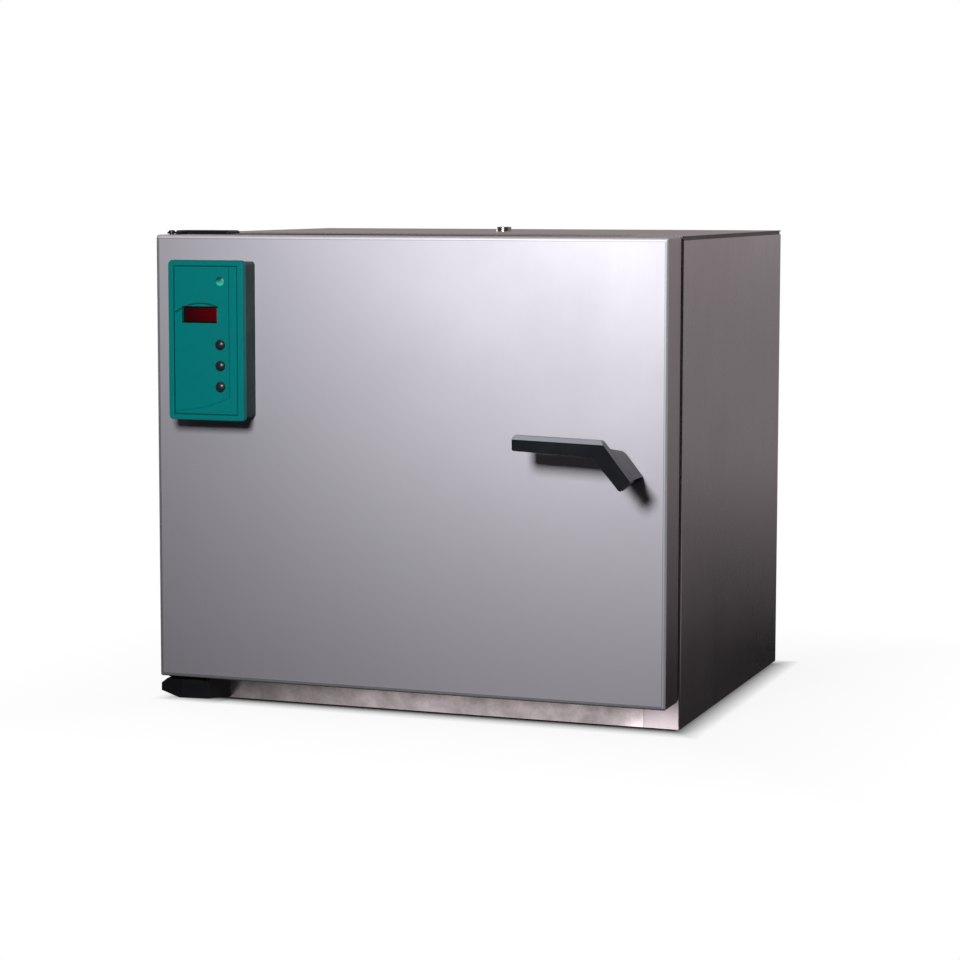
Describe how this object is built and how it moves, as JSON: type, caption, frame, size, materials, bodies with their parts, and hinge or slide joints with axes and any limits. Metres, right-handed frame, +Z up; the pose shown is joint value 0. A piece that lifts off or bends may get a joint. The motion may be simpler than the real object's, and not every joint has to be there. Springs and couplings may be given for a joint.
{
  "type": "laboratory drying oven",
  "caption": "Bench drying oven with a left hinged insulated steel door, side lever latch, door mounted controller, slotted shelves and roof vent.",
  "frame": {"origin": "ground level under the centre of the whole oven, door shut", "axes": "+Z up, the door and handle face -Y, +X to the viewer's right when looking at the door"},
  "size_m": [0.644, 0.62, 0.5815],
  "materials": {
    "stainless_panel": "satin brushed stainless sheet",
    "liner_steel": "bright rolled stainless sheet",
    "galvanised": "galvanised sheet",
    "black_painted": "satin black",
    "steel_pin": "ground steel",
    "zinc_screw": "zinc plated",
    "mineral_wool": "mineral wool",
    "silicone_seal": "matt silicone",
    "rubber_black": "matt",
    "black_handle": "satin moulded",
    "controller_teal": "satin moulded",
    "controller_dark": "satin moulded",
    "window_red": "tinted filter",
    "lamp_green": "translucent",
    "button_black": "gloss",
    "circuit_board": "solder mask",
    "display_black": "moulded",
    "switch_black": "moulded",
    "heater_sheath": "oxidised sheath",
    "ceramic_white": "glazed",
    "nylon_black": "moulded",
    "terminal_plastic": "moulded",
    "bronze_bush": "sintered"
  },
  "bodies": {
    "cabinet": {"right_side_panel": "stainless_panel", "left_side_panel": "stainless_panel", "top_panel": "stainless_panel", "rear_panel": "galvanised", "base_pan": "galvanised", "lower_front_rail": "stainless_panel", "upper_front_rail": "stainless_panel", "liner_left_wall": "liner_steel", "liner_right_wall": "liner_steel", "liner_roof": "liner_steel", "liner_floor": "liner_steel", "liner_back": "liner_steel", "insulation_left": "mineral_wool", "insulation_right": "mineral_wool", "insulation_top": "mineral_wool", "insulation_bottom": "mineral_wool", "insulation_rear": "mineral_wool", "left_shelf_runners": "liner_steel", "right_shelf_runners": "liner_steel", "lower_shelf": "liner_steel", "upper_shelf": "liner_steel", "heater_cover": "liner_steel", "tubular_heaters": "heater_sheath", "heater_terminals": "ceramic_white", "temperature_probe": "liner_steel", "vent_tube": "stainless_panel", "rubber_feet": "rubber_black", "cable_gland": "nylon_black", "terminal_block": "terminal_plastic", "power_relay": "nylon_black", "rear_panel_screws": "zinc_screw", "latch_keeper": "stainless_panel", "keeper_screws": "zinc_screw", "upper_hinge_bracket": "black_painted", "lower_hinge_bracket": "black_painted", "upper_hinge_pin": "steel_pin", "lower_hinge_pin": "steel_pin", "hinge_washer": "steel_pin", "hinge_screws": "zinc_screw"},
    "door": {"door_skin": "stainless_panel", "door_inner_pan": "liner_steel", "door_insulation": "mineral_wool", "door_gasket": "silicone_seal", "door_hinge_blocks": "galvanised", "door_hinge_bushes": "bronze_bush", "latch_bushing": "bronze_bush", "controller_base": "controller_dark", "controller_cover": "controller_teal", "display_window": "window_red", "display_module": "display_black", "controller_board": "circuit_board", "tact_switches": "switch_black", "indicator_lens": "lamp_green"},
    "handle": {"handle_lever": "black_handle", "latch_spindle": "steel_pin", "latch_tongue": "steel_pin"},
    "button_1": {"button_1": "button_black"},
    "button_2": {"button_2": "button_black"},
    "button_3": {"button_3": "button_black"}
  },
  "joints": [
    {"name": "door_hinge", "type": "hinge", "parent": "cabinet", "child": "door", "pos_m": [-0.31, -0.226, 0], "axis": [0, 0, -1], "range_deg": [0, 110]},
    {"name": "handle_turn", "type": "hinge", "parent": "door", "child": "handle", "pos_m": [0.274, -0.25, 0.315], "axis": [0, -1, 0], "range_deg": [0, 90]},
    {"name": "button_1_press", "type": "slide", "parent": "door", "child": "button_1", "axis": [0, 1, 0], "range_m": [0, 0.0012], "stiffness_N_per_m": 300},
    {"name": "button_2_press", "type": "slide", "parent": "door", "child": "button_2", "axis": [0, 1, 0], "range_m": [0, 0.0012], "stiffness_N_per_m": 300},
    {"name": "button_3_press", "type": "slide", "parent": "door", "child": "button_3", "axis": [0, 1, 0], "range_m": [0, 0.0012], "stiffness_N_per_m": 300}
  ]
}
